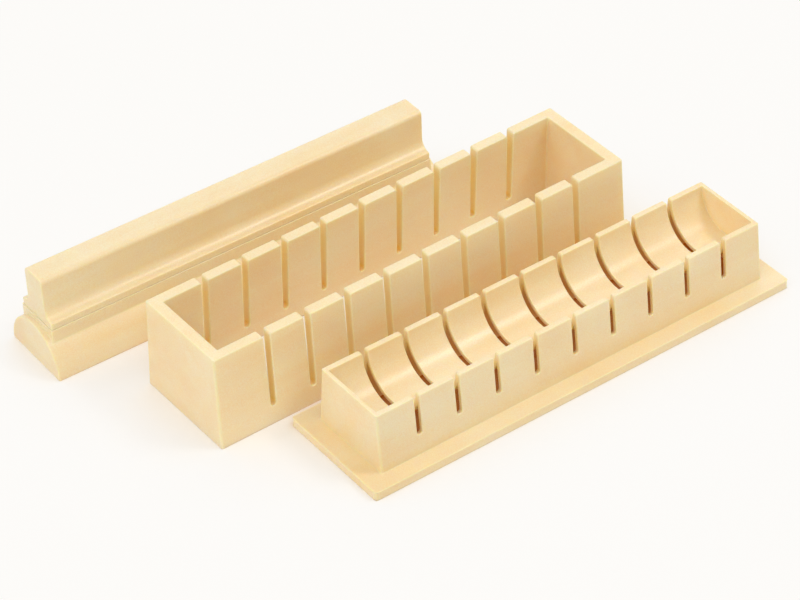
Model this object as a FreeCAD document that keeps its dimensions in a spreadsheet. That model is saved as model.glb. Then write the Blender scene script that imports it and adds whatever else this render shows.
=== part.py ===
import FreeCAD, Part
import math
import os

import Sketcher

# A three-piece press for round rice rolls cut into even slices.
#   base_tray      a flanged tray with a half-round trough, cut across by knife slots
#   slotted_frame  a drawn-in wall that drops over the tray and guides the knife
#   press_head     the half-round lid of the trough, which slides down inside the frame
#   press_handle   the hollow grip bar that caps the head's neck
# The pieces lie apart in one row, as they come to hand: +X along the pieces, +Y across the row
# from the tray to the press, +Z up, origin at the middle of the row on the table.

document = FreeCAD.newDocument("RicePress")
sheet = document.addObject("Spreadsheet::Sheet", "Sizes")

sizes = {
    # Knife slots, shared by the tray and the frame.
    "slot_count": 9,
    "slot_pitch": 20.0,
    "slot_floor": 9.4,
    "slot_shoulder": 0.9,
    "tray_slot": 2.6,
    "frame_slot_mouth": 3.3,
    "frame_slot_foot": 2.6,
    "knife_relief": 0.4,
    # Base tray.
    "flange_length": 218.0,
    "flange_width": 59.0,
    "flange_height": 4.4,
    "flange_plate": 2.2,
    "flange_rim": 2.4,
    "flange_corner": 2.0,
    "tray_length": 200.0,
    "tray_width": 37.6,
    "tray_height": 28.2,
    "tray_side_draft": 5.4,
    "tray_end_draft": 0.4,
    "tray_wall": 2.2,
    "tray_end_wall": 1.9,
    "trough_radius": 16.1,
    "trough_skin": 2.2,
    "lip_plate": 2.2,
    # Frame.
    "frame_height": 45.2,
    "frame_side_wall": 5.1,
    "frame_end_wall": 5.5,
    "frame_side_draft": 2.9,
    "frame_end_draft": 1.0,
    "cavity_corner": 0.8,
    "seat_gap_side": 0.4,
    "seat_gap_end": 1.1,
    # Press head. Its neck's top is measured up from the crown of the half-round.
    "press_gap_side": 0.7,
    "press_gap_end": 0.5,
    "head_leg": 0.6,
    "head_end_wall": 1.9,
    "neck_top": 1.924,
    "neck_proud": 0.4,
    "neck_wall": 3.8,
    "spigot_height": 1.2,
    "spigot_gap": 0.15,
    # Handle bar.
    "end_step": 3.0,
    "ledge_width": 23.4,
    "ledge_height": 3.4,
    "ledge_roof": 1.6,
    "flare_radius": 4.7,
    "grip_width": 13.4,
    "grip_top": 44.2,
    "grip_round": 2.2,
    "handle_wall": 2.2,
    # Softened edges.
    "edge_round": 0.6,
    "corner_round": 1.0,
    # Where each piece lies in the row.
    "base_x": 30.3,
    "base_y": -60.1,
    "frame_x": -3.2,
    "frame_y": 2.3,
    "frame_turn": 0.6,
    "press_x": -39.2,
    "press_y": 69.6,
    "press_turn": -0.6,
}
for row, (alias, size) in enumerate(sizes.items(), start=1):
    sheet.set("A%d" % row, alias)
    sheet.set("B%d" % row, "%g" % size)
    sheet.setAlias("B%d" % row, alias)
document.recompute()


def formula(text):
    """Put the sheet's name before every alias in a formula."""
    words = []
    word = ""
    for sign in text + " ":
        if sign.isalnum() or sign == "_":
            word += sign
            continue
        words.append("Sizes." + word if word in sizes else word)
        words.append(sign)
        word = ""
    return "".join(words).strip()


def measure(text):
    """The value of a formula, in millimetres or degrees."""
    value = sheet.evalExpression(formula(text))
    return float(getattr(value, "Value", value))


# Sizes that follow from the driving ones.
TRAY_TOP = "(flange_height + tray_height)"
TRAY_FOOT_WIDTH = "(tray_width + 2 * tray_height * tan(tray_side_draft * 1deg))"
TRAY_FOOT_LENGTH = "(tray_length + 2 * tray_height * tan(tray_end_draft * 1deg))"
PLATE_WIDTH = "(tray_width + 2 * lip_plate * tan(tray_side_draft * 1deg))"
PLATE_LENGTH = "(tray_length + 2 * lip_plate * tan(tray_end_draft * 1deg))"
CAVITY_FOOT_WIDTH = "(" + TRAY_FOOT_WIDTH + " + 2 * seat_gap_side)"
CAVITY_FOOT_LENGTH = "(" + TRAY_FOOT_LENGTH + " + 2 * seat_gap_end)"
CAVITY_TOP_WIDTH = "(" + CAVITY_FOOT_WIDTH + " - 2 * frame_height * tan(frame_side_draft * 1deg))"
CAVITY_TOP_LENGTH = "(" + CAVITY_FOOT_LENGTH + " - 2 * frame_height * tan(frame_end_draft * 1deg))"
HEAD_LENGTH = "(" + CAVITY_TOP_LENGTH + " - 2 * press_gap_end)"
HEAD_RADIUS = "(" + CAVITY_TOP_WIDTH + " / 2 - press_gap_side)"
NECK_LEVEL = "(head_leg + " + HEAD_RADIUS + " + neck_top)"
HANDLE_LENGTH = "(" + HEAD_LENGTH + " - 2 * end_step)"
NECK_LENGTH = "(" + HANDLE_LENGTH + " + 2 * neck_proud)"
NECK_WIDTH = "(ledge_width + 2 * neck_proud)"
SPIGOT_WIDTH = "(ledge_width - 2 * handle_wall - 2 * spigot_gap)"
SPIGOT_LENGTH = "(" + HANDLE_LENGTH + " - 2 * handle_wall - 2 * spigot_gap)"
FIRST_SLOT = "(-(slot_count - 1) / 2 * slot_pitch)"


def new_body(label, place_x, place_y, turn):
    """A body that stands on the table at its place in the row, turned about its own upright."""
    body = document.addObject("PartDesign::Body", label)
    body.Label = label
    body.Placement = FreeCAD.Placement(FreeCAD.Vector(), FreeCAD.Rotation(FreeCAD.Vector(0, 0, 1), 1))
    body.setExpression("Placement.Base.x", formula(place_x))
    body.setExpression("Placement.Base.y", formula(place_y))
    body.setExpression("Placement.Rotation.Angle", formula(turn))
    return body


def origin_feature(body, role):
    """One of the body's own origin planes or axes."""
    return next(item for item in body.Origin.OriginFeatures if item.Role == role)


def attach(item, body, role):
    """Lay a sketch or a primitive on one of the body's origin planes."""
    item.AttachmentSupport = [(origin_feature(body, role), "")]
    item.MapMode = "FlatFace"


def pin(sketch, geometry, end, across, up):
    """Hold a point of the sketch at two formulas, measured from the origin."""
    for kind, text in (("DistanceX", across), ("DistanceY", up)):
        if text is None:
            continue
        index = sketch.addConstraint(Sketcher.Constraint(kind, -1, 1, geometry, end, measure(text)))
        sketch.setExpression("Constraints[%d]" % index, formula(text))


def outline(sketch, start, steps):
    """Close a loop of lines and arcs.

    A step (across, up) is a line to that point. A step (across, up, centre across, centre up,
    side) is an arc to that point, turning left for side 1 and right for side -1.
    """
    first = sketch.GeometryCount
    here = start
    last_end = 2
    for step in steps:
        there = step[:2]
        tail = FreeCAD.Vector(measure(here[0]), measure(here[1]), 0)
        tip = FreeCAD.Vector(measure(there[0]), measure(there[1]), 0)
        near_end = 1
        far_end = 2
        if len(step) == 2:
            geometry = sketch.addGeometry(Part.LineSegment(tail, tip), False)
        else:
            middle = FreeCAD.Vector(measure(step[2]), measure(step[3]), 0)
            begin, end = (tail, tip) if step[4] > 0 else (tip, tail)
            if step[4] < 0:
                near_end = 2
                far_end = 1
            turn_from = math.atan2(begin.y - middle.y, begin.x - middle.x)
            turn_to = math.atan2(end.y - middle.y, end.x - middle.x)
            circle = Part.Circle(middle, FreeCAD.Vector(0, 0, 1), (begin - middle).Length)
            geometry = sketch.addGeometry(Part.ArcOfCircle(circle, turn_from, turn_to), False)
        if geometry > first:
            joint = Sketcher.Constraint("Coincident", geometry - 1, last_end, geometry, near_end)
            sketch.addConstraint(joint)
        else:
            start_end = near_end
        pin(sketch, geometry, far_end, there[0], there[1])
        if len(step) == 5:
            pin(sketch, geometry, 3, None, step[3])
        last_end = far_end
        here = there
    sketch.addConstraint(Sketcher.Constraint("Coincident", geometry, last_end, first, start_end))


def rectangle(sketch, length, width):
    """A rectangle centred on the sketch's origin."""
    right = length + " / 2"
    back = width + " / 2"
    left = "-" + right
    front = "-" + back
    outline(sketch, (left, front), [(right, front), (right, back), (left, back), (left, front)])


def new_sketch(body, name, role):
    """An empty sketch on one of the body's origin planes."""
    sketch = body.newObject("Sketcher::SketchObject", name)
    attach(sketch, body, role)
    return sketch


def extrude(body, kind, name, sketch, length, midplane=False, reverse=False):
    """A pad or a pocket of one sketch, by a formula's length or, with None, through everything."""
    feature = body.newObject("PartDesign::" + kind, name)
    feature.Profile = sketch
    if length is None:
        feature.Type = "ThroughAll"
    else:
        feature.Type = "Length"
        feature.setExpression("Length", formula(length))
    feature.Midplane = midplane
    feature.Reversed = reverse
    document.recompute()
    return feature


def drafted_block(body, kind, name, low, high, foot, top):
    """A block between two heights whose four sides lean from the foot's size to the top's.

    The wedge's own Y is the upright, because it is attached to the XZ plane.
    """
    block = body.newObject("PartDesign::" + kind, name)
    attach(block, body, "XZ_Plane")
    block.setExpression("Ymin", formula(low))
    block.setExpression("Ymax", formula(high))
    for ends, across in (("X", 0), ("Z", 1)):
        block.setExpression(ends + "max", formula(foot[across] + " / 2"))
        block.setExpression(ends + "min", formula("-" + foot[across] + " / 2"))
        block.setExpression(ends + "2max", formula(top[across] + " / 2"))
        block.setExpression(ends + "2min", formula("-" + top[across] + " / 2"))
    document.recompute()
    return block


# How an edge is picked out, in millimetres: the least it climbs, and how level is level.
LEAST_CLIMB = 2.0
LEVEL_ENOUGH = 0.01


def middle_of(edge):
    """The point halfway along an edge."""
    return edge.valueAt((edge.FirstParameter + edge.LastParameter) / 2)


def edges_where(feature, wanted):
    """Names of the edges of a feature that pass a test on their middle and their two ends."""
    names = []
    for number, edge in enumerate(feature.Shape.Edges, start=1):
        ends = [vertex.Point for vertex in edge.Vertexes]
        if len(ends) == 2 and wanted(middle_of(edge), ends):
            names.append("Edge%d" % number)
    return names


def fillet(body, name, feature, edges, radius):
    """Round the named edges of a feature."""
    rounded = body.newObject("PartDesign::Fillet", name)
    rounded.Base = (feature, edges)
    rounded.setExpression("Radius", formula(radius))
    document.recompute()
    return rounded


def upright(middle, ends):
    """True for an edge that climbs, such as the corner between two drafted walls."""
    return abs(ends[0].z - ends[1].z) > LEAST_CLIMB


def level_at(height):
    """A test for straight or curved edges that lie at one height."""
    return lambda middle, ends: all(abs(point.z - height) < LEVEL_ENOUGH for point in ends + [middle])


def within(reach, point):
    """True for a point inside a rectangle of two half sizes round the upright."""
    return abs(point.x) < reach[0] and abs(point.y) < reach[1]


def cut_slots(body, name, mouth, foot, floor, top):
    """A row of knife slots, open at the top, with round floors and rounded shoulders."""
    sketch = new_sketch(body, name + "_profile", "XZ_Plane")
    left_foot = FIRST_SLOT + " - " + foot + " / 2"
    right_foot = FIRST_SLOT + " + " + foot + " / 2"
    left_mouth = FIRST_SLOT + " - " + mouth + " / 2"
    right_mouth = FIRST_SLOT + " + " + mouth + " / 2"
    spring = floor + " + " + foot + " / 2"
    neck = top + " - slot_shoulder"
    over = top + " + slot_shoulder"
    left_lip = left_mouth + " - slot_shoulder"
    right_lip = right_mouth + " + slot_shoulder"
    outline(
        sketch,
        (left_foot, spring),
        [
            (right_foot, spring, FIRST_SLOT, spring, 1),
            (right_mouth, neck),
            (right_lip, top, right_lip, neck, -1),
            (right_lip, over),
            (left_lip, over),
            (left_lip, top),
            (left_mouth, neck, left_lip, neck, -1),
            (left_foot, spring),
        ],
    )
    slot = extrude(body, "Pocket", name, sketch, None, midplane=True)
    row = body.newObject("PartDesign::LinearPattern", name + "_row")
    row.Originals = [slot]
    row.Direction = (sketch, ["H_Axis"])
    row.setExpression("Length", formula("(slot_count - 1) * slot_pitch"))
    row.setExpression("Occurrences", formula("slot_count"))
    body.Tip = row
    document.recompute()
    return row


def half_round(sketch, radius, height, side):
    """A half disc with its flat at one height, bulging down for side -1 and up for side 1."""
    near = "-" + radius
    if side < 0:
        outline(sketch, (near, height), [(radius, height, "0", height, 1), (near, height)])
    else:
        outline(sketch, (radius, height), [(near, height, "0", height, 1), (radius, height)])


def build_tray():
    """Base tray: a thin shell with a flange round its foot and a half-round trough for the roll."""
    body = new_body("base_tray", "base_x", "base_y", "0")
    plan = new_sketch(body, "flange_plan", "XY_Plane")
    rectangle(plan, "flange_length", "flange_width")
    flange = extrude(body, "Pad", "flange", plan, "flange_height")
    flange = fillet(body, "flange_corners", flange, edges_where(flange, upright), "flange_corner")
    rim = edges_where(flange, level_at(measure("flange_height")))
    fillet(body, "flange_edge", flange, rim, "edge_round")
    foot = (TRAY_FOOT_LENGTH, TRAY_FOOT_WIDTH)
    top = ("tray_length", "tray_width")
    block = drafted_block(body, "AdditiveWedge", "tray_block", "flange_height", TRAY_TOP, foot, top)
    flange_top = measure("flange_height")
    corners = edges_where(block, lambda middle, ends: upright(middle, ends) and middle.z > flange_top)
    block = fillet(body, "tray_corners", block, corners, "corner_round")
    lip = edges_where(block, level_at(measure(TRAY_TOP)))
    fillet(body, "tray_lip", block, lip, "edge_round")
    # The underside is hollow: a shallow recess in the flange, then the inside of the walls.
    recess = new_sketch(body, "flange_recess_plan", "XY_Plane")
    rectangle(recess, "(flange_length - 2 * flange_rim)", "(flange_width - 2 * flange_rim)")
    extrude(body, "Pocket", "flange_recess", recess, "flange_height - flange_plate", reverse=True)
    inner_foot_length = "(" + TRAY_FOOT_LENGTH + " - 2 * tray_end_wall)"
    inner_foot_width = "(" + TRAY_FOOT_WIDTH + " - 2 * tray_wall)"
    inner_foot = (inner_foot_length, inner_foot_width)
    inner_top_length = "(" + PLATE_LENGTH + " - 2 * tray_end_wall)"
    inner_top_width = "(" + PLATE_WIDTH + " - 2 * tray_wall)"
    inner_top = (inner_top_length, inner_top_width)
    ceiling = "(" + TRAY_TOP + " - lip_plate)"
    cut = "SubtractiveWedge"
    drafted_block(body, cut, "foot_of_hollow", "0", "flange_height", inner_foot, inner_foot)
    drafted_block(body, cut, "hollow", "flange_height", ceiling, inner_foot, inner_top)
    # The trough's skin hangs between the two lips and closes on the end walls.
    skin = new_sketch(body, "trough_skin_profile", "YZ_Plane")
    half_round(skin, "(trough_radius + trough_skin)", TRAY_TOP, -1)
    extrude(body, "Pad", "trough_skin_pad", skin, "tray_length - tray_end_wall", midplane=True)
    trough = new_sketch(body, "trough_profile", "YZ_Plane")
    half_round(trough, "trough_radius", TRAY_TOP, -1)
    extrude(body, "Pocket", "trough", trough, "tray_length - 2 * tray_end_wall", midplane=True)
    cut_slots(body, "tray_slots", "tray_slot", "tray_slot", "(flange_height + slot_floor)", TRAY_TOP)
    return body


def build_frame():
    """Frame: four drafted walls, open above and below, that stand on the flange round the tray."""
    body = new_body("slotted_frame", "frame_x", "frame_y", "frame_turn")
    cavity_foot = (CAVITY_FOOT_LENGTH, CAVITY_FOOT_WIDTH)
    cavity_top = (CAVITY_TOP_LENGTH, CAVITY_TOP_WIDTH)
    thickness = (" + 2 * frame_end_wall)", " + 2 * frame_side_wall)")
    foot = tuple("(" + size + wall for size, wall in zip(cavity_foot, thickness))
    top = tuple("(" + size + wall for size, wall in zip(cavity_top, thickness))
    block = drafted_block(body, "AdditiveWedge", "frame_block", "0", "frame_height", foot, top)
    block = fillet(body, "frame_corners", block, edges_where(block, upright), "corner_round")
    at_top = level_at(measure("frame_height"))
    block = fillet(body, "frame_outer_rim", block, edges_where(block, at_top), "edge_round")
    cut = "SubtractiveWedge"
    cavity = drafted_block(body, cut, "cavity", "0", "frame_height", cavity_foot, cavity_top)
    reach = (measure(CAVITY_FOOT_LENGTH) / 2, measure(CAVITY_FOOT_WIDTH) / 2)
    corners = edges_where(cavity, lambda middle, ends: upright(middle, ends) and within(reach, middle))
    cavity = fillet(body, "cavity_corners", cavity, corners, "cavity_corner")
    mouth = edges_where(cavity, lambda middle, ends: at_top(middle, ends) and within(reach, middle))
    fillet(body, "frame_inner_rim", cavity, mouth, "edge_round")
    floor = "(slot_floor - knife_relief)"
    cut_slots(body, "frame_slots", "frame_slot_mouth", "frame_slot_foot", floor, "frame_height")
    return body


def build_head():
    """Press head: a half-round shell closed at both ends, with a ring of wall as its neck."""
    body = new_body("press_head", "press_x", "press_y", "press_turn")
    well_length = "(" + NECK_LENGTH + " - 2 * neck_wall)"
    well_width = "(" + NECK_WIDTH + " - 2 * neck_wall)"
    neck = new_sketch(body, "neck_plan", "XY_Plane")
    rectangle(neck, NECK_LENGTH, NECK_WIDTH)
    rectangle(neck, well_length, well_width)
    extrude(body, "Pad", "neck", neck, NECK_LEVEL)
    spigot = new_sketch(body, "spigot_plan", "XY_Plane")
    rectangle(spigot, SPIGOT_LENGTH, SPIGOT_WIDTH)
    rectangle(spigot, well_length, well_width)
    extrude(body, "Pad", "spigot", spigot, NECK_LEVEL + " + spigot_height")
    arch = new_sketch(body, "arch_profile", "YZ_Plane")
    outline(
        arch,
        ("-" + HEAD_RADIUS, "0"),
        [
            (HEAD_RADIUS, "0"),
            (HEAD_RADIUS, "head_leg"),
            ("-" + HEAD_RADIUS, "head_leg", "0", "head_leg", 1),
            ("-" + HEAD_RADIUS, "0"),
        ],
    )
    extrude(body, "Pad", "arch", arch, HEAD_LENGTH, midplane=True)
    hollow = new_sketch(body, "hollow_profile", "YZ_Plane")
    half_round(hollow, "trough_radius", "0", 1)
    extrude(body, "Pocket", "hollow", hollow, HEAD_LENGTH + " - 2 * head_end_wall", midplane=True)
    return body


def build_handle():
    """Handle bar: a hollow moulded grip with flared feet that caps the head's neck."""
    body = new_body("press_handle", "press_x", "press_y", "press_turn")
    bar = new_sketch(body, "bar_profile", "YZ_Plane")
    ledge = "ledge_width / 2"
    grip = "grip_width / 2"
    ledge_top = "(" + NECK_LEVEL + " + ledge_height)"
    flare_top = "(" + ledge_top + " + flare_radius)"
    flare_middle = "(" + grip + " + flare_radius)"
    shoulder = "(grip_top - grip_round)"
    crown = "(" + grip + " - grip_round)"
    outline(
        bar,
        ("-" + ledge, NECK_LEVEL),
        [
            (ledge, NECK_LEVEL),
            (ledge, ledge_top),
            (flare_middle, ledge_top),
            (grip, flare_top, flare_middle, flare_top, -1),
            (grip, shoulder),
            (crown, "grip_top", crown, shoulder, 1),
            ("-" + crown, "grip_top"),
            ("-" + grip, shoulder, "-" + crown, shoulder, 1),
            ("-" + grip, flare_top),
            ("-" + flare_middle, ledge_top, "-" + flare_middle, flare_top, -1),
            ("-" + ledge, ledge_top),
            ("-" + ledge, NECK_LEVEL),
        ],
    )
    extrude(body, "Pad", "bar", bar, HANDLE_LENGTH, midplane=True)
    core = new_sketch(body, "core_profile", "YZ_Plane")
    wide = "(ledge_width / 2 - handle_wall)"
    slim = "(grip_width / 2 - handle_wall)"
    step = "(" + ledge_top + " - ledge_roof)"
    roof = "(grip_top - handle_wall)"
    outline(
        core,
        ("-" + wide, NECK_LEVEL),
        [
            (wide, NECK_LEVEL),
            (wide, step),
            (slim, step),
            (slim, roof),
            ("-" + slim, roof),
            ("-" + slim, step),
            ("-" + wide, step),
            ("-" + wide, NECK_LEVEL),
        ],
    )
    extrude(body, "Pocket", "core", core, HANDLE_LENGTH + " - 2 * handle_wall", midplane=True)
    return body


parts = [build_tray(), build_frame(), build_head(), build_handle()]
document.recompute()

failed = [item.Name for item in document.Objects if {"Invalid", "Error"} & set(item.State)]
if failed:
    raise RuntimeError("objects that failed to recompute: " + ", ".join(failed))
for part in parts:
    if part.Shape.isNull() or not part.Shape.isValid():
        raise RuntimeError(part.Label + " has no valid shape")

os.makedirs("parts", exist_ok=True)
for part in parts:
    part.Shape.exportStep(os.path.join("parts", part.Label + ".step"))
    box = part.Shape.BoundBox
    print(part.Label, len(part.Shape.Solids), "solid,", round(part.Shape.Volume), "cubic mm,", box)
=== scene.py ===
import math

import bmesh
import bpy
import numpy as np
from mathutils import Matrix, Vector


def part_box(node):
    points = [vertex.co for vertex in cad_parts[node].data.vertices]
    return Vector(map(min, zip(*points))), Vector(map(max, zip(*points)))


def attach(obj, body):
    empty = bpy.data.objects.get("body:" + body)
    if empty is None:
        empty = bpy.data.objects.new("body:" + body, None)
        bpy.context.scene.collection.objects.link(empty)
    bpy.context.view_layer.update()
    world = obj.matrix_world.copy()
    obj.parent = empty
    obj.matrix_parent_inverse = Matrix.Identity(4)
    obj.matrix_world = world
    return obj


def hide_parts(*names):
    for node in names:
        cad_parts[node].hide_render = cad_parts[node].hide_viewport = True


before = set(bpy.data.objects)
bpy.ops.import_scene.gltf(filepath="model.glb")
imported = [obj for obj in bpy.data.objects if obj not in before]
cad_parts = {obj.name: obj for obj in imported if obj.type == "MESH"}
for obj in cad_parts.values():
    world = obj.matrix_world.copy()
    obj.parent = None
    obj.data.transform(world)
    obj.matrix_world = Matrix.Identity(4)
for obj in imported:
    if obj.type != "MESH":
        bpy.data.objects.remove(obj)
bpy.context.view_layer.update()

# ---------------------------------------------------------------------------------------------
# Base tray. The lower third of the press: a thin shell that stands on a flat flange and carries
# a half-round trough for the roll, cut across by nine knife slots. It is one injection moulding
# in ivory polypropylene, open underneath. Sizes here are in millimetres and degrees.
# ---------------------------------------------------------------------------------------------
METRES = 0.001
slot_count = 9
slot_pitch = 20.0
slot_floor = 9.4
slot_shoulder = 0.9
tray_slot = 2.6
flange_length = 218.0
flange_width = 59.0
flange_height = 4.4
flange_plate = 2.2
flange_rim = 2.4
flange_corner = 2.0
tray_length = 200.0
tray_width = 37.6
tray_height = 28.2
tray_side_draft = 5.4
tray_end_draft = 0.4
tray_wall = 2.2
tray_end_wall = 1.9
trough_radius = 16.1
trough_skin = 2.2
tray_edge = 0.4
tray_corner = 1.0
corner_slack = 1.0
ARC_STEPS = 8
TROUGH_STEPS = 48
WELD_DIGITS = 4
SHARP_DEGREES = 25
ROUND_STEPS = 4
FLAT_FACE_WEIGHT = 80

tray_top = flange_height + tray_height
slot_places = (np.arange(slot_count) - (slot_count - 1) / 2) * slot_pitch


def sheet(points):
    """Four-cornered faces between neighbours of a grid of points, rows by columns by 3."""
    here, below = points[:-1], points[1:]
    return np.stack([here[:, :-1], below[:, :-1], below[:, 1:], here[:, 1:]], 2).reshape(-1, 4, 3)


def plate(points):
    """One flat face round a loop of points."""
    return np.asarray(points, float)[None]


def ring(first, second):
    """The four faces between two level rectangles, each as half length, half width, height."""
    corners = np.array([[1, 1, 1], [-1, 1, 1], [-1, -1, 1], [1, -1, 1], [1, 1, 1]])
    return sheet(np.stack([corners * first, corners * second]))


def in_space(along, across, up):
    """Points from three arrays, or from arrays and single numbers that hold for every point."""
    return np.stack(np.broadcast_arrays(along, across, up), -1).astype(float)


def slot_outline(foot, mouth, floor, top):
    """Right half of a knife slot as (across, up) rows, from the middle of its floor to its lip.

    A quarter circle as wide as half the foot rises from the floor, a straight side leans out to
    the mouth, and a quarter circle of the shoulder's radius turns out on to the top.
    """
    turn = np.linspace(0, np.pi / 2, ARC_STEPS + 1)
    bowl_across = foot / 2 * np.sin(turn)
    bowl_up = floor + foot / 2 * (1 - np.cos(turn))
    lip_across = mouth / 2 + slot_shoulder * (1 - np.cos(turn))
    lip_up = top - slot_shoulder * (1 - np.sin(turn))
    bowl = np.stack([bowl_across, bowl_up], 1)
    return bowl, np.stack([lip_across, lip_up], 1)


def both_halves(half):
    """A whole outline from its right half, from the left lip down and up to the right lip."""
    return np.concatenate([half[::-1] * (-1, 1), half[1:]])


def comb(outline, half_length, low, top):
    """A wall's side view as (along, up) rows: a plain foot, and a row of slots in its top edge."""
    across = slot_places[:, None] + outline[:, 0]
    up = np.broadcast_to(outline[:, 1], across.shape)
    teeth = np.stack([across, up], 2).reshape(-1, 2)
    ends = np.array([[half_length(low), low], [half_length(top), top]])
    return np.concatenate([ends * (-1, 1), teeth, ends[::-1]])


def moulded(name, patches, place, turn, soft_edge, special_edges):
    """A closed piece from its patches of faces, with every sharp edge rounded.

    Corners that fall together are welded, the piece is turned about its own upright by the turn
    and carried to its place. An edge whose two faces turn from each other by more than the sharp
    angle gets the soft radius, or the radius of the last special edge test that it passes.
    """
    corners = np.concatenate([patch.reshape(-1, 3) for patch in patches])
    places, index = np.unique(np.round(corners, WELD_DIGITS), axis=0, return_inverse=True)
    index = index.ravel()
    faces = []
    start = 0
    for patch in patches:
        count, sides = patch.shape[:2]
        faces += index[start:start + count * sides].reshape(count, sides).tolist()
        start += count * sides
    mesh = bpy.data.meshes.new(name)
    mesh.from_pydata(places, [], faces)
    shape = bmesh.new()
    shape.from_mesh(mesh)
    bmesh.ops.recalc_face_normals(shape, faces=shape.faces)
    shape.to_mesh(mesh)
    shape.free()

    ends = np.zeros(len(mesh.edges) * 2, np.int32)
    mesh.edges.foreach_get("vertices", ends)
    ends = ends.reshape(-1, 2)
    middle = places[ends].mean(1)
    along = places[ends[:, 1]] - places[ends[:, 0]]
    along /= np.linalg.norm(along, axis=1)[:, None]
    normals = np.zeros(len(mesh.polygons) * 3)
    mesh.polygons.foreach_get("normal", normals)
    sides = np.zeros(len(mesh.polygons), np.int32)
    mesh.polygons.foreach_get("loop_total", sides)
    loop_edge = np.zeros(len(mesh.loops), np.int32)
    mesh.loops.foreach_get("edge_index", loop_edge)
    owner = np.repeat(np.arange(len(sides)), sides)[np.argsort(loop_edge, kind="stable")]
    pair = normals.reshape(-1, 3)[owner.reshape(-1, 2)]
    agree = np.einsum("ij,ij->i", pair[:, 0], pair[:, 1])
    sharp = agree < math.cos(math.radians(SHARP_DEGREES))
    radius = np.where(sharp, soft_edge, 0.0)
    for special, test in special_edges:
        radius[sharp & test(np.abs(middle), np.abs(along))] = special
    weight = mesh.attributes.new("bevel_weight_edge", "FLOAT", "EDGE")
    weight.data.foreach_set("value", (radius / radius.max()).astype(np.float32))

    swing = Matrix.Translation(place) @ Matrix.Rotation(math.radians(turn), 4, "Z")
    mesh.transform(Matrix.Scale(METRES, 4) @ swing)
    mesh.shade_smooth()
    piece = bpy.data.objects.new(name, mesh)
    bpy.context.scene.collection.objects.link(piece)
    bevel = piece.modifiers.new("rounded_edges", "BEVEL")
    bevel.limit_method = "WEIGHT"
    bevel.width = float(radius.max()) * METRES
    bevel.segments = ROUND_STEPS
    # The rounds take the piece's second material, which paints a highlight on them.
    bevel.material = 1
    bevel.use_clamp_overlap = False
    shading = piece.modifiers.new("even_shading", "WEIGHTED_NORMAL")
    shading.weight = FLAT_FACE_WEIGHT
    return piece


def lean(angle):
    """How far a wall leans in for each millimetre it climbs."""
    return math.tan(math.radians(angle))


def tray_side(up):
    """Half width of the tray's outside at a height: its top, and the draft below it."""
    return tray_width / 2 + (tray_top - up) * lean(tray_side_draft)


def tray_end(up):
    """Half length of the tray's outside at a height."""
    return tray_length / 2 + (tray_top - up) * lean(tray_end_draft)


def hollow_side(up):
    """Half width of the hollow inside the tray's walls."""
    return tray_side(up) - tray_wall


def hollow_end(up):
    """Half length of the hollow inside the tray's walls."""
    return tray_end(up) - tray_end_wall


# The trough's skin meets the inside of the wall where a circle crosses a leaning line.
skin_radius = trough_radius + trough_skin
wall_lean = lean(tray_side_draft)
wall_start = hollow_side(tray_top)
steepness = 1 + wall_lean**2
root = math.sqrt((wall_start * wall_lean) ** 2 - steepness * (wall_start**2 - skin_radius**2))
seam_up = tray_top - (root - wall_start * wall_lean) / steepness
seam_angle = math.asin(hollow_side(seam_up) / skin_radius)

slot_floor_up = flange_height + slot_floor
bowl, lip = slot_outline(tray_slot, tray_slot, slot_floor_up, tray_top)
spring_up = bowl[-1, 1]
trough_end = tray_length / 2 - tray_end_wall

# The trough's section as (across, up) rows from the near lip to the far lip, as deep as the
# slots' round shoulders begin. Above them the circle is all but upright, and is one flat face.
shoulder_up = tray_top - slot_shoulder
dip = np.linspace(-1, 1, TROUGH_STEPS + 1) * math.acos(slot_shoulder / trough_radius)
trough_across = trough_radius * np.sin(dip)
trough_up = tray_top - trough_radius * np.cos(dip)
lip_start = trough_across[-1]


def trough_lip(up):
    """Half width of the trough from its shoulders' height to its top, on a straight line."""
    return lip_start + (up - shoulder_up) / slot_shoulder * (trough_radius - lip_start)


sweep = np.linspace(-1, 1, TROUGH_STEPS + 1) * seam_angle
skin_across = skin_radius * np.sin(sweep)
skin_up = tray_top - skin_radius * np.cos(sweep)

# Flange: top, outer edge, foot rim, recess under the plate, and the band up to the hollow.
rim_outside = np.array([flange_length / 2, flange_width / 2])
rim_inside = rim_outside - flange_rim
recess_up = flange_height - flange_plate
walls_foot = (tray_end(flange_height), tray_side(flange_height), flange_height)
hollow_foot = (hollow_end(flange_height), hollow_side(flange_height))
patches = [
    ring(walls_foot, (*rim_outside, flange_height)),
    ring((*rim_outside, flange_height), (*rim_outside, 0)),
    ring((*rim_outside, 0), (*rim_inside, 0)),
    ring((*rim_inside, 0), (*rim_inside, recess_up)),
    ring((*rim_inside, recess_up), (*hollow_foot, recess_up)),
    ring((*hollow_foot, recess_up), (*hollow_foot, flange_height)),
]

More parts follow.
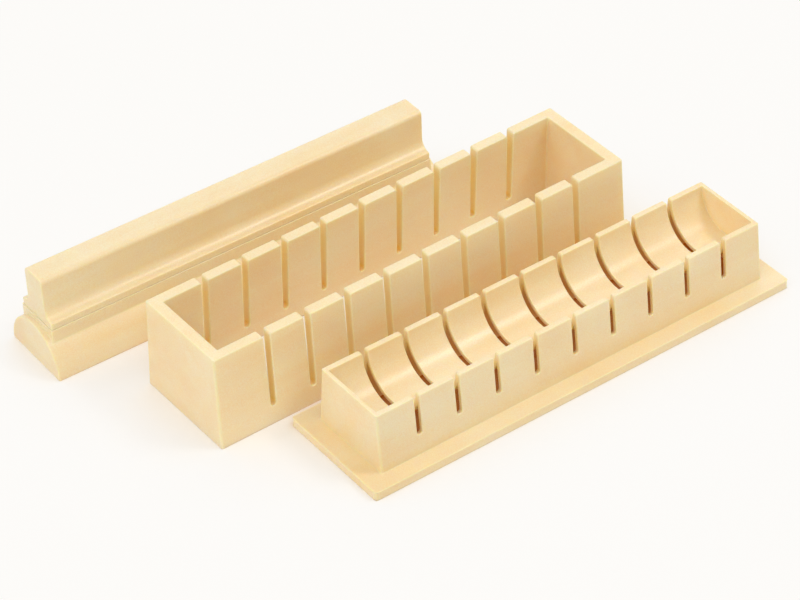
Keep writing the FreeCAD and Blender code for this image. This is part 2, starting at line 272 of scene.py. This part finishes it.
outer_comb = comb(both_halves(np.concatenate([bowl, lip])), tray_end, flange_height, tray_top)
seam_point = [[tray_slot / 2, seam_up]]
inner_comb = comb(
    both_halves(np.concatenate([bowl, seam_point])), hollow_end, flange_height, seam_up
)
for side in (-1, 1):
    along, up = outer_comb.T
    patches.append(plate(in_space(along, side * tray_side(up), up)))
    along, up = inner_comb.T
    patches.append(plate(in_space(along, side * hollow_side(up), up)))

    # End walls: the outside, the trough's end and the hollow's end under the trough.
    foot_end, foot_side = side * tray_end(flange_height), tray_side(flange_height)
    top_end, top_side = side * tray_end(tray_top), tray_side(tray_top)
    patches.append(plate([
        (foot_end, -foot_side, flange_height),
        (foot_end, foot_side, flange_height),
        (top_end, top_side, tray_top),
        (top_end, -top_side, tray_top),
    ]))
    end_across = np.concatenate([[-trough_radius], trough_across, [trough_radius]])
    end_up = np.concatenate([[tray_top], trough_up, [tray_top]])
    patches.append(plate(in_space(side * trough_end, end_across, end_up)))
    under = np.concatenate([[-hollow_foot[1]], skin_across, [hollow_foot[1]]])
    under_up = np.concatenate([[flange_height], skin_up, [flange_height]])
    patches.append(plate(in_space(side * hollow_end(under_up), under, under_up)))

    # Top of the end wall and of the lips as far as the first slot.
    first_lip = side * (slot_places[-1] + lip[-1, 0])
    patches.append(plate([
        (top_end, -top_side, tray_top),
        (first_lip, -top_side, tray_top),
        (first_lip, -trough_radius, tray_top),
        (side * trough_end, -trough_radius, tray_top),
        (side * trough_end, trough_radius, tray_top),
        (first_lip, trough_radius, tray_top),
        (first_lip, top_side, tray_top),
        (top_end, top_side, tray_top),
    ]))

# Ten stretches of trough between the slots, each with the trough's face and the skin's underside.
for start, stop in zip([None, *slot_places], [*slot_places, None]):
    trough_left = -trough_end if start is None else start + tray_slot / 2
    trough_right = trough_end if stop is None else stop - tray_slot / 2
    skin_left = -hollow_end(skin_up) if start is None else start + tray_slot / 2
    skin_right = hollow_end(skin_up) if stop is None else stop - tray_slot / 2
    patches.append(sheet(np.stack([
        in_space(trough_left, trough_across, trough_up),
        in_space(trough_right, trough_across, trough_up),
    ])))
    patches.append(sheet(np.stack([
        in_space(skin_left, skin_across, skin_up),
        in_space(skin_right, skin_across, skin_up),
    ])))
    # The flat face over the rows reaches up between the two round shoulders beside it.
    left = [[-trough_end, shoulder_up], [-trough_end, tray_top]]
    right = [[trough_end, tray_top], [trough_end, shoulder_up]]
    if start is not None:
        left = lip + (start, 0)
    if stop is not None:
        right = (lip * (-1, 1) + (stop, 0))[::-1]
    along, up = np.concatenate([left, right]).T
    for side in (-1, 1):
        patches.append(plate(in_space(along, side * trough_lip(up), up)))
    if start is None or stop is None:
        continue
    for side in (-1, 1):
        patches.append(plate([
            (start + lip[-1, 0], side * trough_radius, tray_top),
            (stop - lip[-1, 0], side * trough_radius, tray_top),
            (stop - lip[-1, 0], side * tray_side(tray_top), tray_top),
            (start + lip[-1, 0], side * tray_side(tray_top), tray_top),
        ]))

# The slots' own faces: two cut sides through walls and trough, round floors and round shoulders.
bowl_along, bowl_up = both_halves(bowl).T
for middle in slot_places:
    for side in (-1, 1):
        wall_ups = [shoulder_up, spring_up, spring_up]
        wall_across = [tray_side(shoulder_up), tray_side(spring_up), hollow_side(spring_up)]
        section_across = np.concatenate([
            trough_across, wall_across, skin_across[::-1],
            [-wall_across[2], -wall_across[1], -wall_across[0]],
        ])
        section_up = np.concatenate([trough_up, wall_ups, skin_up[::-1], wall_ups[::-1]])
        patches.append(plate(in_space(middle + side * tray_slot / 2, section_across, section_up)))
        patches.append(sheet(np.stack([
            in_space(middle + bowl_along, side * tray_side(bowl_up), bowl_up),
            in_space(middle + bowl_along, side * hollow_side(bowl_up), bowl_up),
        ])))
        for hand in (-1, 1):
            lip_along = middle + hand * lip[:, 0]
            patches.append(sheet(np.stack([
                in_space(lip_along, side * tray_side(lip[:, 1]), lip[:, 1]),
                in_space(lip_along, side * trough_lip(lip[:, 1]), lip[:, 1]),
            ])))


def upright_edge(along):
    """True for edges that climb by more than nine tenths of their length."""
    return along[:, 2] > 0.9


def tray_corners(middle, along):
    """True for the upright edges at the corners of the tray's block."""
    past_trough = middle[:, 0] > trough_end + corner_slack
    in_block = middle[:, 1] < tray_side(flange_height) + corner_slack
    return upright_edge(along) & past_trough & in_block


def flange_corners(middle, along):
    """True for the upright edges at the outer corners of the flange."""
    return upright_edge(along) & (middle[:, 0] > flange_length / 2 - corner_slack)


def middle_of_box(node):
    """Middle of a node's box on the table, in millimetres."""
    low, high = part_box(node)
    return Vector(((low.x + high.x) / 2, (low.y + high.y) / 2, 0)) / METRES


tray = moulded(
    "base_tray_moulding", patches, middle_of_box("base_tray"), 0.0, tray_edge,
    [(tray_corner, tray_corners), (flange_corner, flange_corners)],
)


def linear(hex_colour):
    """An sRGB hex colour as the linear colour a shader takes."""
    share = np.array([int(hex_colour[i:i + 2], 16) for i in (0, 2, 4)]) / 255
    low, high = share / 12.92, ((share + 0.055) / 1.055) ** 2.4
    return (*np.where(share <= 0.04045, low, high), 1.0)


def add(tree, kind, settings=(), inputs=(), links=()):
    """One node with its settings and its inputs' values, and links into it from other sockets."""
    node = tree.nodes.new(kind)
    for name, value in dict(settings).items():
        setattr(node, name, value)
    for name, value in dict(inputs).items():
        node.inputs[name].default_value = value
    for name, socket in dict(links).items():
        tree.links.new(socket, node.inputs[name])
    return node


def between(tree, share, first, second):
    """The colour that lies between two hex colours by a share from another socket."""
    mix = add(tree, "ShaderNodeMix", {"data_type": "RGBA"}, links={"Factor": share})
    mix.inputs[6].default_value = linear(first)
    mix.inputs[7].default_value = linear(second)
    return mix.outputs[2]


# Ivory polypropylene, injection moulded in a spark-eroded steel mould. The fine pits of the mould
# leave a satin skin, and the thick walls let light in, so that it looks waxy. The slots' deeper
# amber is painted shade, and the paler rounded edges are a painted highlight.
ivory_pale = "fceed0"
ivory_deep = "f8deaf"
# Paler tones for the rounded edges: a painted highlight.
edge_highlight_pale = "fdf1d0"
edge_highlight_deep = "f9e6b6"
# Painted shade where the plastic shuts itself in: its amber tint, reach and strength.
slot_painted_shade_tint = "fff0a0"
slot_painted_shade_reach_mm = 9.0
painted_shade_full_below, painted_shade_none_above = 0.2, 0.6
grain_mm = 0.5
flow_mm = 14.0
flow_stretch = 0.12
blotch_mm = 30.0
blotch_share = 0.5
grain_share = 0.45
all_pale, all_deep = 0.38, 0.62
satin_low, satin_high = 0.26, 0.36
pit_depth_mm = 0.02
sink_depth_mm = 0.15
refraction = 1.49
light_let_in = 0.7
reach_of_colours = (1.0, 0.82, 0.35)
thin_reach_mm = 1.8


def ivory_plastic(name, pale, deep, reach_mm):
    """Moulded ivory plastic that wanders between two near tones: flow lines, blotches, fine grain.

    reach_mm is how far light wanders in it before it comes out again. Red wanders furthest.
    Where it shuts itself in, its colour is darkened by painted shade.
    """
    plastic_material = bpy.data.materials.new(name)
    plastic_material.use_nodes = True
    tree = plastic_material.node_tree
    tree.nodes.clear()
    place = add(tree, "ShaderNodeTexCoord")
    # Flow lines that run along each piece from its gate, some fourteen millimetres apart.
    stretched = add(
        tree, "ShaderNodeMapping", inputs={"Scale": (flow_stretch, 1.0, 1.0)},
        links={"Vector": place.outputs["Object"]},
    )
    flow = add(
        tree, "ShaderNodeTexNoise",
        inputs={
            "Scale": 1 / (flow_mm * METRES), "Detail": 3.0, "Roughness": 0.55, "Distortion": 0.6,
        },
        links={"Vector": stretched.outputs["Vector"]},
    )
    blotch = add(
        tree, "ShaderNodeTexNoise",
        inputs={"Scale": 1 / (blotch_mm * METRES), "Detail": 2.0},
        links={"Vector": place.outputs["Object"]},
    )
    mottle = add(
        tree, "ShaderNodeMix", {"data_type": "FLOAT"}, {"Factor": blotch_share},
        {"A": flow.outputs["Fac"], "B": blotch.outputs["Fac"]},
    )
    # The mould's pits are about a twentieth of a millimetre, drawn coarser so that they show.
    grain = add(
        tree, "ShaderNodeTexNoise", inputs={"Scale": 1 / (grain_mm * METRES), "Detail": 2.0},
        links={"Vector": place.outputs["Object"]},
    )
    speckled = add(
        tree, "ShaderNodeMix", {"data_type": "FLOAT"}, {"Factor": grain_share},
        {"A": mottle.outputs["Result"], "B": grain.outputs["Fac"]},
    )
    spread = add(
        tree, "ShaderNodeMapRange", inputs={"From Min": all_pale, "From Max": all_deep},
        links={"Value": speckled.outputs["Result"]},
    )
    colour = between(tree, spread.outputs["Result"], pale, deep)
    # Painted shade: where the plastic shuts itself in, as between the sides of a knife slot, its
    # colour is multiplied by an amber tint, which stands in for the light that bounces there many
    # times and deepens its colour.
    shut_in = add(
        tree, "ShaderNodeAmbientOcclusion", {"samples": 8, "only_local": True},
        {"Distance": slot_painted_shade_reach_mm * METRES},
    )
    painted_slot_shade = add(
        tree, "ShaderNodeMapRange",
        inputs={
            "From Min": painted_shade_full_below, "From Max": painted_shade_none_above, "To Min": 1.0, "To Max": 0.0,
        },
        links={"Value": shut_in.outputs["AO"]},
    )
    painted_shade_colour = add(
        tree, "ShaderNodeMix", {"data_type": "RGBA", "blend_type": "MULTIPLY"},
        links={"Factor": painted_slot_shade.outputs["Result"]},
    )
    tree.links.new(colour, painted_shade_colour.inputs[6])
    painted_shade_colour.inputs[7].default_value = linear(slot_painted_shade_tint)
    satin = add(
        tree, "ShaderNodeMapRange", inputs={"To Min": satin_low, "To Max": satin_high},
        links={"Value": grain.outputs["Fac"]},
    )
    pits = add(
        tree, "ShaderNodeBump", inputs={"Strength": 0.35, "Distance": pit_depth_mm * METRES},
        links={"Height": grain.outputs["Fac"]},
    )
    # Thick places sink a little as they cool.
    sink = add(
        tree, "ShaderNodeBump", inputs={"Strength": 0.5, "Distance": sink_depth_mm * METRES},
        links={"Height": blotch.outputs["Fac"], "Normal": pits.outputs["Normal"]},
    )
    plastic = add(
        tree, "ShaderNodeBsdfPrincipled",
        inputs={
            "IOR": refraction, "Subsurface Weight": light_let_in,
            "Subsurface Radius": reach_of_colours, "Subsurface Scale": reach_mm * METRES,
        },
        links={
            "Base Color": painted_shade_colour.outputs[2], "Roughness": satin.outputs["Result"],
            "Normal": sink.outputs["Normal"],
        },
    )
    add(tree, "ShaderNodeOutputMaterial", links={"Surface": plastic.outputs["BSDF"]})
    return plastic_material


ivory = ivory_plastic("ivory_polypropylene", ivory_pale, ivory_deep, thin_reach_mm)
# Rounded edges get a paler copy of the plastic: a painted highlight, on concave edges as well as
# convex ones.
ivory_painted_edge_highlight = ivory_plastic("ivory_polypropylene_painted_edge_highlight", edge_highlight_pale, edge_highlight_deep, thin_reach_mm)
tray.data.materials.append(ivory)
tray.data.materials.append(ivory_painted_edge_highlight)
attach(tray, "base")
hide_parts("base_tray")

# ---------------------------------------------------------------------------------------------
# Slotted frame. A tall wall with no top and no bottom, which drops over the tray and guides the
# knife: its nine pairs of slots line up with the tray's. One moulding in the same polypropylene,
# drawn in towards the top so that it leaves its mould.
# ---------------------------------------------------------------------------------------------
frame_height = 45.2
frame_side_wall = 5.1
frame_end_wall = 5.5
frame_side_draft = 2.9
frame_end_draft = 1.0
seat_gap_side = 0.4
seat_gap_end = 1.1
knife_relief = 0.4
frame_slot_foot = 2.6
frame_slot_mouth = 3.3
frame_turn = 0.6
frame_edge = 0.5
frame_corner = 1.0
cavity_corner = 0.8


def cavity_side(up):
    """Half width inside the frame: the tray's foot and its gap, less the draft."""
    return tray_side(flange_height) + seat_gap_side - up * lean(frame_side_draft)


def cavity_end(up):
    """Half length inside the frame."""
    return tray_end(flange_height) + seat_gap_end - up * lean(frame_end_draft)


def frame_side(up):
    """Half width outside the frame."""
    return cavity_side(up) + frame_side_wall


def frame_end(up):
    """Half length outside the frame."""
    return cavity_end(up) + frame_end_wall


bowl, lip = slot_outline(
    frame_slot_foot, frame_slot_mouth, slot_floor - knife_relief, frame_height
)
outline = both_halves(np.concatenate([bowl, lip]))
outer_comb = comb(outline, frame_end, 0, frame_height)
inner_comb = comb(outline, cavity_end, 0, frame_height)
rim_outer, rim_inner = frame_side(frame_height), cavity_side(frame_height)
patches = [ring((frame_end(0), frame_side(0), 0), (cavity_end(0), cavity_side(0), 0))]
for side in (-1, 1):
    along, up = outer_comb.T
    patches.append(plate(in_space(along, side * frame_side(up), up)))
    along, up = inner_comb.T
    patches.append(plate(in_space(along, side * cavity_side(up), up)))
    for end_of, side_of in ((frame_end, frame_side), (cavity_end, cavity_side)):
        patches.append(plate([
            (side * end_of(0), -side_of(0), 0),
            (side * end_of(0), side_of(0), 0),
            (side * end_of(frame_height), side_of(frame_height), frame_height),
            (side * end_of(frame_height), -side_of(frame_height), frame_height),
        ]))
    first_lip = side * (slot_places[-1] + lip[-1, 0])
    rim_end, rim_stop = side * frame_end(frame_height), side * cavity_end(frame_height)
    patches.append(plate([
        (rim_end, -rim_outer, frame_height),
        (first_lip, -rim_outer, frame_height),
        (first_lip, -rim_inner, frame_height),
        (rim_stop, -rim_inner, frame_height),
        (rim_stop, rim_inner, frame_height),
        (first_lip, rim_inner, frame_height),
        (first_lip, rim_outer, frame_height),
        (rim_end, rim_outer, frame_height),
    ]))
    for middle in slot_places:
        along, up = middle + outline[:, 0], outline[:, 1]
        patches.append(sheet(np.stack([
            in_space(along, side * frame_side(up), up),
            in_space(along, side * cavity_side(up), up),
        ])))
    for start, stop in zip(slot_places[:-1] + lip[-1, 0], slot_places[1:] - lip[-1, 0]):
        patches.append(plate([
            (start, side * rim_inner, frame_height),
            (stop, side * rim_inner, frame_height),
            (stop, side * rim_outer, frame_height),
            (start, side * rim_outer, frame_height),
        ]))


def cavity_corners(middle, along):
    """True for upright edges as far out as the frame's end walls, inside or outside."""
    return upright_edge(along) & (middle[:, 0] > cavity_end(frame_height) - corner_slack)


def frame_corners(middle, along):
    """True for the upright edges at the frame's outer corners."""
    return upright_edge(along) & (middle[:, 0] > frame_end(frame_height) - corner_slack)


guide = moulded(
    "slotted_frame_moulding", patches, middle_of_box("slotted_frame"), frame_turn, frame_edge,
    [(cavity_corner, cavity_corners), (frame_corner, frame_corners)],
)
# These walls are the thickest and lit from both sides, so light wanders further through them.
frame_reach_mm = 4.5
frame_ivory = ivory_plastic("ivory_polypropylene_thick", ivory_pale, ivory_deep, frame_reach_mm)
# The frame's rounded edges get the same painted highlight.
frame_ivory_painted_edge_highlight = ivory_plastic(
    "ivory_polypropylene_thick_painted_edge_highlight", edge_highlight_pale, edge_highlight_deep, frame_reach_mm
)
guide.data.materials.append(frame_ivory)
guide.data.materials.append(frame_ivory_painted_edge_highlight)
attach(guide, "frame")
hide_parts("slotted_frame")

# ---------------------------------------------------------------------------------------------
# Press head. The half-round lid of the trough: a shell closed at both ends, with a ring of wall
# rising from its crown as the neck that the handle caps. One moulding in the same polypropylene.
# ---------------------------------------------------------------------------------------------
press_gap_side = 0.7
press_gap_end = 0.5
head_leg = 0.6
head_end_wall = 1.9
end_step = 3.0
ledge_width = 23.4
handle_wall = 2.2
neck_rise = 1.924
neck_proud = 0.4
neck_wall = 3.8
spigot_height = 1.2
spigot_gap = 0.15
press_turn = -0.6
head_edge = 0.5
seam_edge = 0.2
seam_slack = 0.1
rounding_slack = 1e-6
LEG_ROWS = 17
NECK_ROWS = 7
WELL_ROWS = 25

head_radius = cavity_side(frame_height) - press_gap_side
head_end = cavity_end(frame_height) - press_gap_end
handle_end = head_end - end_step
neck_up = head_leg + head_radius + neck_rise
spigot_up = neck_up + spigot_height
neck_end, neck_side = handle_end + neck_proud, ledge_width / 2 + neck_proud
well_end, well_side = neck_end - neck_wall, neck_side - neck_wall
spigot_end = handle_end - handle_wall - spigot_gap
spigot_side = ledge_width / 2 - handle_wall - spigot_gap

# The arch: angles from one leg over the crown to the other, with rows where neck and well stand.
neck_angle, well_angle = math.acos(neck_side / head_radius), math.acos(well_side / head_radius)
stops = [0, neck_angle, well_angle, np.pi - well_angle, np.pi - neck_angle, np.pi]
rows = (LEG_ROWS, NECK_ROWS, WELL_ROWS, NECK_ROWS, LEG_ROWS)
spans = [np.linspace(a, b, count)[:-1] for a, b, count in zip(stops, stops[1:], rows)]
angle = np.concatenate([*spans, [np.pi]])
arch_across, arch_up = head_radius * np.cos(angle), head_leg + head_radius * np.sin(angle)
arch_along = np.array([-head_end, -neck_end, -well_end, well_end, neck_end, head_end])
arch = in_space(arch_along[None], arch_across[:, None], arch_up[:, None])
cells = sheet(arch)
on_arch = np.abs(cells.mean(1))
under_neck = (on_arch[:, 0] < neck_end) & (on_arch[:, 1] < neck_side)
in_well = (on_arch[:, 0] < well_end) & (on_arch[:, 1] < well_side)
hollow_angle = np.linspace(0, np.pi, TROUGH_STEPS + 1)
hollow_across = trough_radius * np.cos(hollow_angle)
hollow_up = trough_radius * np.sin(hollow_angle)
inner_end = head_end - head_end_wall
hollow_ends = np.array([-inner_end, inner_end])
patches = [
    cells[~under_neck | in_well],
    ring((head_end, head_radius, 0), (inner_end, trough_radius, 0)),
    sheet(in_space(hollow_ends[None], hollow_across[:, None], hollow_up[:, None])),
    ring((neck_end, neck_side, neck_up), (spigot_end, spigot_side, neck_up)),
    ring((spigot_end, spigot_side, neck_up), (spigot_end, spigot_side, spigot_up)),
    ring((spigot_end, spigot_side, spigot_up), (well_end, well_side, spigot_up)),
]
for side in (-1, 1):
    leg_top = in_space(arch_along, side * head_radius, head_leg)
    leg_foot = in_space(arch_along[[-1, 0]], side * head_radius, 0)
    patches.append(plate(np.concatenate([leg_top, leg_foot])))
    d_across = np.concatenate([[head_radius], arch_across, [-head_radius]])
    d_up = np.concatenate([[0], arch_up, [0]])
    patches.append(plate(in_space(side * head_end, d_across, d_up)))
    patches.append(plate(in_space(side * inner_end, hollow_across, hollow_up)))
    # Neck and well: long walls up from the arch, then end walls whose foot follows the arch.
    foot_up = head_leg + head_radius * math.sin(neck_angle)
    foot = in_space(arch_along[1:-1], side * neck_side, foot_up)
    top = in_space(arch_along[[-2, 1]], side * neck_side, neck_up)
    patches.append(plate(np.concatenate([foot, top])))
    foot_up = head_leg + head_radius * math.sin(well_angle)
    foot = in_space(arch_along[2:-2], side * well_side, foot_up)
    top = in_space(arch_along[[-3, 2]], side * well_side, spigot_up)
    patches.append(plate(np.concatenate([foot, top])))
    for end, half, top_up in ((neck_end, neck_side, neck_up), (well_end, well_side, spigot_up)):
        covered = np.abs(arch_across) < half + rounding_slack
        foot = in_space(side * end, arch_across[covered], arch_up[covered])
        top = in_space(side * end, np.array([-half, half]), top_up)
        patches.append(plate(np.concatenate([foot, top])))

head = moulded(
    "press_head_moulding", patches, middle_of_box("press_head"), press_turn, head_edge,
    [(seam_edge, lambda middle, along: middle[:, 2] > neck_up - seam_slack)],
)
head.data.materials.append(ivory)
head.data.materials.append(ivory_painted_edge_highlight)
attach(head, "press")
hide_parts("press_head")

# ---------------------------------------------------------------------------------------------
# Press handle. The hollow grip bar that caps the neck: a ledge at its foot, a concave flare up
# to the fingers' faces and a rounded top, all one section drawn out along the bar. Moulded in
# the same polypropylene and pressed over the neck's spigot, so that a fine seam shows under it.
# ---------------------------------------------------------------------------------------------
ledge_height = 3.4
ledge_roof = 1.6
ledge_round = 0.6
flare_radius = 4.7
grip_width = 13.4
grip_up = 44.2
grip_round = 2.2
handle_edge = 0.5
LEDGE_ROUND_STEPS = 6
FLARE_STEPS = 20
GRIP_ROUND_STEPS = 12


def arc(across, up, radius, start, stop, steps):
    """Points on a circle about (across, up) between two angles, as (across, up) rows."""
    turn = np.linspace(start, stop, steps + 1)
    return np.stack([across + radius * np.cos(turn), up + radius * np.sin(turn)], 1)


# Right half of the section. The ledge's small round touches the flare's circle, so their middles
# lie the two radii added apart.
ledge_up = neck_up + ledge_height
flare_across, flare_up = grip_width / 2 + flare_radius, ledge_up + flare_radius
round_across = ledge_width / 2 - ledge_round
reach = flare_radius + ledge_round
round_up = flare_up - math.sqrt(reach**2 - (round_across - flare_across) ** 2)
meet = math.atan2(flare_up - round_up, flare_across - round_across)
crown_across, crown_up = grip_width / 2 - grip_round, grip_up - grip_round
half = np.concatenate([
    [[ledge_width / 2, neck_up]],
    arc(round_across, round_up, ledge_round, 0, meet, LEDGE_ROUND_STEPS),
    arc(flare_across, flare_up, flare_radius, meet + np.pi, np.pi, FLARE_STEPS)[1:],
    arc(crown_across, crown_up, grip_round, 0, np.pi / 2, GRIP_ROUND_STEPS),
])
section = np.concatenate([half, half[::-1] * (-1, 1)])
wide, slim = ledge_width / 2 - handle_wall, grip_width / 2 - handle_wall
step_up, roof_up = ledge_up - ledge_roof, grip_up - handle_wall
core_half = np.array([[wide, neck_up], [wide, step_up], [slim, step_up], [slim, roof_up]])
core = np.concatenate([core_half, core_half[::-1] * (-1, 1)])
core_end = handle_end - handle_wall
patches = [ring((handle_end, ledge_width / 2, neck_up), (core_end, wide, neck_up))]
for profile, end in ((section, handle_end), (core, core_end)):
    ends = np.array([-end, end])
    patches.append(sheet(in_space(ends[None], profile[:, :1], profile[:, 1:])))
    for side in (-1, 1):
        patches.append(plate(in_space(side * end, profile[:, 0], profile[:, 1])))

handle = moulded(
    "press_handle_moulding", patches, middle_of_box("press_handle"), press_turn, handle_edge,
    [(seam_edge, lambda middle, along: middle[:, 2] < neck_up + seam_slack)],
)
handle.data.materials.append(ivory)
handle.data.materials.append(ivory_painted_edge_highlight)
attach(handle, "press")
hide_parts("press_handle")

# ---------------------------------------------------------------------------------------------
# Table. A white sweep of paper under the pieces, which takes their soft shadow, partly real and
# partly painted. To the camera and in reflections it is mostly plain white, as is the room behind
# it; near and under the pieces that white fades out by ambient occlusion, a painted shadow.
# ---------------------------------------------------------------------------------------------
table_half = 4.0
paper_white = "fdfcfa"
# Painted amber shade colour and painted under-glow for paper that a piece closes in.
paper_painted_shade = "e0a050"
shown_white = 0.92
painted_glow_strength = 0.45
shade_reach_mm = 60.0
shaded_below, open_above = 0.35, 0.9
painted_amber_full_below, painted_amber_none_above = 0.05, 0.3
corners = in_space(np.array([-1, 1, 1, -1]), np.array([-1, -1, 1, 1]), 0) * table_half
mesh = bpy.data.meshes.new("table")
mesh.from_pydata(corners, [], [[0, 1, 2, 3]])
table = bpy.data.objects.new("table", mesh)
bpy.context.scene.collection.objects.link(table)


def direct_rays(tree):
    """1 for rays from the camera, from a shine or through glass, and 0 for bounced light."""
    ray = add(tree, "ShaderNodeLightPath")
    seen = ray.outputs["Is Camera Ray"]
    for kind in ("Is Glossy Ray", "Is Transmission Ray"):
        seen = add(
            tree, "ShaderNodeMath", {"operation": "MAXIMUM"}, links={0: seen, 1: ray.outputs[kind]}
        ).outputs["Value"]
    return seen


# Where the paper is closed in by a piece, it keeps its shade and takes a painted amber shade
# colour, and to bounced light it gives off a painted amber glow, which stands in for the warm
# light that comes down through the plastic.
paper = bpy.data.materials.new("white_sweep_paper")
paper.use_nodes = True
tree = paper.node_tree
tree.nodes.clear()
open_sky = add(
    tree, "ShaderNodeAmbientOcclusion", {"samples": 8}, {"Distance": shade_reach_mm * METRES}
)
openness = add(
    tree, "ShaderNodeMapRange",
    inputs={"From Min": shaded_below, "From Max": open_above, "To Max": shown_white},
    links={"Value": open_sky.outputs["AO"]},
)
painted_amber_fade = add(
    tree, "ShaderNodeMapRange", inputs={"From Min": painted_amber_full_below, "From Max": painted_amber_none_above},
    links={"Value": open_sky.outputs["AO"]},
)
paper_painted_tint = between(tree, painted_amber_fade.outputs["Result"], paper_painted_shade, paper_white)
painted_under_glow = add(
    tree, "ShaderNodeMapRange",
    inputs={
        "From Min": painted_amber_full_below, "From Max": painted_amber_none_above, "To Min": painted_glow_strength, "To Max": 0.0,
    },
    links={"Value": open_sky.outputs["AO"]},
)
matt = add(tree, "ShaderNodeBsdfDiffuse", links={"Color": paper_painted_tint})
backdrop_and_painted_glow = add(tree, "ShaderNodeEmission", links={"Color": paper_painted_tint})
glow_share = add(
    tree, "ShaderNodeMix", {"data_type": "FLOAT"},
    links={
        "Factor": direct_rays(tree), "A": painted_under_glow.outputs["Result"],
        "B": openness.outputs["Result"],
    },
)
shown = add(
    tree, "ShaderNodeMixShader",
    links={0: glow_share.outputs["Result"], 1: matt.outputs["BSDF"], 2: backdrop_and_painted_glow.outputs["Emission"]},
)
add(tree, "ShaderNodeOutputMaterial", links={"Surface": shown.outputs["Shader"]})
table.data.materials.append(paper)

# ---------------------------------------------------------------------------------------------
# Light. A white room with a faintly warm fill, wide soft boxes behind, left and overhead, and a
# small one at the near right that draws the soft highlights. Rays that see the room see it white.
# ---------------------------------------------------------------------------------------------
room_light = 0.54
room_tone = "fff1dc"
room_white = "ffffff"
box_distance = 1.3
world = bpy.data.worlds.new("white_room")
bpy.context.scene.world = world
world.use_nodes = True
tree = world.node_tree
tree.nodes.clear()
direct = direct_rays(tree)
strength = add(
    tree, "ShaderNodeMapRange", inputs={"To Min": room_light, "To Max": 1.0},
    links={"Value": direct},
)
tone = between(tree, direct, room_tone, room_white)
white = add(
    tree, "ShaderNodeBackground", links={"Color": tone, "Strength": strength.outputs["Result"]}
)
add(tree, "ShaderNodeOutputWorld", links={"Surface": white.outputs["Background"]})


def direction(azimuth, elevation):
    """The way from the middle of the row to a place seen at two angles in degrees.

    Azimuth 0 stands on the near side and 90 on the right.
    """
    turn, climb = math.radians(azimuth), math.radians(elevation)
    return Vector((
        math.sin(turn) * math.cos(climb), -math.cos(turn) * math.cos(climb), math.sin(climb)
    ))


def soft_box(name, azimuth, elevation, size, power):
    """A square area lamp that looks at the middle of the row, sized in metres and watts."""
    back = direction(azimuth, elevation)
    lamp = bpy.data.lights.new(name, "AREA")
    lamp.size = size
    lamp.energy = power
    holder = bpy.data.objects.new(name, lamp)
    bpy.context.scene.collection.objects.link(holder)
    holder.rotation_mode = "QUATERNION"
    holder.rotation_quaternion = (-back).to_track_quat("-Z", "Y")
    holder.location = back * box_distance


soft_box("back_box", azimuth=145, elevation=38, size=0.9, power=2.0)
soft_box("left_box", azimuth=-95, elevation=30, size=0.7, power=2.4)
soft_box("high_box", azimuth=-60, elevation=60, size=0.8, power=3.1)
soft_box("near_box", azimuth=50, elevation=56, size=0.3, power=3.6)

# ---------------------------------------------------------------------------------------------
# Camera. A long lens from the near left, well above the table, rolled a little. Its place is in
# millimetres and its angles are in degrees.
# ---------------------------------------------------------------------------------------------
camera_azimuth = -34.826
camera_elevation = 39.2165
camera_roll = -2.2704
camera_place = Vector((-604.84, -868.10, 869.94)) * METRES
focal_pixels = 3212.97
picture_width = 800
sensor_width = 36.0
sight_limit = 20.0
turn = math.radians(camera_azimuth)
right = Vector((math.cos(turn), math.sin(turn), 0))
back = direction(camera_azimuth, camera_elevation)
level = Matrix((right, back.cross(right), back)).transposed()
lens = bpy.data.cameras.new("camera")
lens.sensor_width = sensor_width
lens.lens = focal_pixels * sensor_width / picture_width
lens.clip_end = sight_limit
camera = bpy.data.objects.new("camera", lens)
bpy.context.scene.collection.objects.link(camera)
roll = Matrix.Rotation(math.radians(camera_roll), 3, "Z")
camera.matrix_world = Matrix.Translation(camera_place) @ (level @ roll).to_4x4()
bpy.context.scene.camera = camera
bpy.context.scene.view_settings.view_transform = "Standard"
